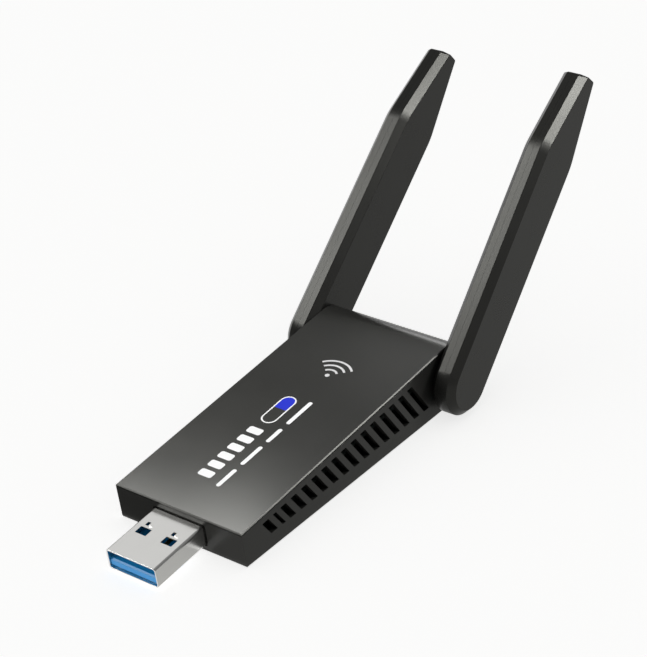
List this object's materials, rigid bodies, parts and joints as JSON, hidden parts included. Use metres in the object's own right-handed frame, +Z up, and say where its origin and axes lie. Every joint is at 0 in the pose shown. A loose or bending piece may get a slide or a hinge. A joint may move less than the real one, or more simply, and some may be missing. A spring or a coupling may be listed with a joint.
{
  "type": "usb wifi adapter",
  "caption": "Wedge-shaped USB wireless network adapter with a type-A plug at its thin end and folding paddle antennas on either side of its thick, rounded end.",
  "frame": {"origin": "centre of the flat underside that the adapter rests on, between the front bottom edge and the line where the underside meets the hinge barrel", "axes": "+Z up from the underside, +Y from the plug towards the hinges, +X to the right when the plug points at the viewer"},
  "size_m": [0.0424, 0.1303, 0.0568],
  "materials": {
    "case_plastic": "fine moulded texture, satin",
    "antenna_plastic": "fine moulded texture, satin",
    "plug_steel": "nickel-plated, brushed along the plug",
    "blue_plastic": "semi-gloss",
    "gold_contact": "gold-plated, polished",
    "black_plastic": "matte",
    "board_laminate": "solder mask, semi-gloss",
    "chip_epoxy": "matte moulded epoxy",
    "silicone_pad": "soft, matte",
    "tinned_steel": "tin-plated, satin",
    "spreader_aluminium": "extruded, satin",
    "ferrite": "matte ceramic",
    "capacitor_ceramic": "semi-gloss ceramic",
    "coax_jacket": "semi-gloss fluoropolymer jacket",
    "friction_rubber": "matte",
    "acetal": "smooth, satin",
    "spring_steel": "satin",
    "copper_foil": "copper, satin"
  },
  "bodies": {
    "case": {"top_cover": "case_plastic", "bottom_cover": "case_plastic", "usb_shell": "plug_steel", "usb_tongue": "blue_plastic", "usb_contact_pads": "gold_contact", "usb_contact_springs": "gold_contact", "usb_rear_insulator": "black_plastic", "circuit_board": "board_laminate", "wifi_chip": "chip_epoxy", "chip_thermal_pad": "silicone_pad", "flash_memory": "chip_epoxy", "crystal": "tinned_steel", "rf_amplifiers": "chip_epoxy", "shield_frame": "tinned_steel", "shield_lid": "tinned_steel", "lid_thermal_pad": "silicone_pad", "heat_spreader": "spreader_aluminium", "power_inductors": "ferrite", "voltage_regulators": "chip_epoxy", "usb_line_filters": "ferrite", "chip_capacitors": "capacitor_ceramic", "coax_sockets": "gold_contact", "right_coax_plug": "gold_contact", "left_coax_plug": "gold_contact", "right_case_coax": "coax_jacket", "left_case_coax": "coax_jacket", "right_friction_ring": "friction_rubber", "left_friction_ring": "friction_rubber"},
    "right_antenna": {"right_antenna_shell": "antenna_plastic", "right_antenna_cover": "antenna_plastic", "right_hinge_pin": "acetal", "right_retaining_clip": "spring_steel", "right_antenna_board": "board_laminate", "right_antenna_dipole": "copper_foil", "right_antenna_coax": "coax_jacket"},
    "left_antenna": {"left_antenna_shell": "antenna_plastic", "left_antenna_cover": "antenna_plastic", "left_hinge_pin": "acetal", "left_retaining_clip": "spring_steel", "left_antenna_board": "board_laminate", "left_antenna_dipole": "copper_foil", "left_antenna_coax": "coax_jacket"}
  },
  "joints": [
    {"name": "right_antenna_hinge", "type": "hinge", "parent": "case", "child": "right_antenna", "pos_m": [0.01555, 0.03232, 0.00686], "axis": [1, 0, 0], "range_deg": [-46.5, 133.5]},
    {"name": "left_antenna_hinge", "type": "hinge", "parent": "case", "child": "left_antenna", "pos_m": [-0.01555, 0.03232, 0.00686], "axis": [1, 0, 0], "range_deg": [-41.5, 138.5]}
  ]
}
